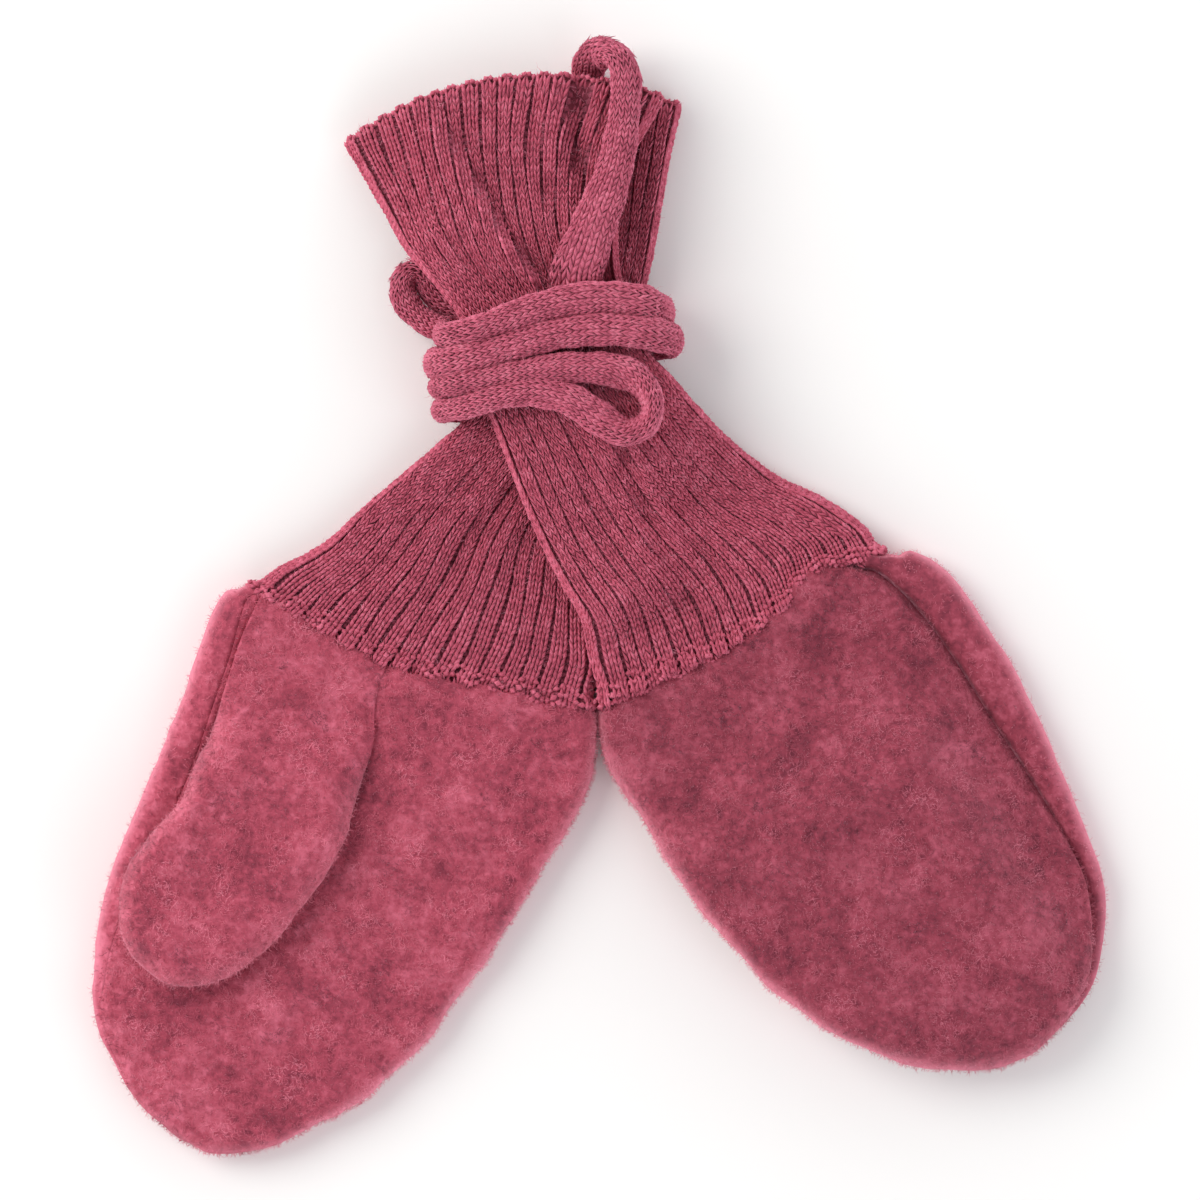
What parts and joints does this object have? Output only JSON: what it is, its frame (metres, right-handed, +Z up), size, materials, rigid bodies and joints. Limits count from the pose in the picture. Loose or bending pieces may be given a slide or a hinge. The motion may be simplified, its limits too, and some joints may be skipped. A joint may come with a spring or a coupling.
{
  "type": "pair of baby mittens",
  "caption": "Pair of thick fleece baby mittens with folded thumbs and ribbed knit cuffs, laid flat with the cuffs crossed and tied together by a knitted cord.",
  "frame": {"origin": "bottom centre of the pair's bounding box, cord left out, on the surface it lies on", "axes": "+Z up from the surface, -Y towards the fingertips, +Y towards the open cuffs, +X to the right seen from above"},
  "size_m": [0.1933, 0.2133, 0.0238],
  "materials": {
    "fleece": "matte",
    "rib_knit": "matte",
    "knitted_cord": "matte"
  },
  "bodies": {
    "root": {"right_back_panel": "fleece", "right_palm_panel": "fleece", "right_thumb_outer": "fleece", "right_thumb_inner": "fleece", "right_cuff": "rib_knit", "left_back_panel": "fleece", "left_palm_panel": "fleece", "left_thumb_outer": "fleece", "left_thumb_inner": "fleece", "left_cuff": "rib_knit", "cord_top_loop": "knitted_cord", "cord_wrap_upper": "knitted_cord", "cord_wrap_middle": "knitted_cord", "cord_low_loop": "knitted_cord", "cord_left_loop": "knitted_cord"}
  },
  "joints": []
}
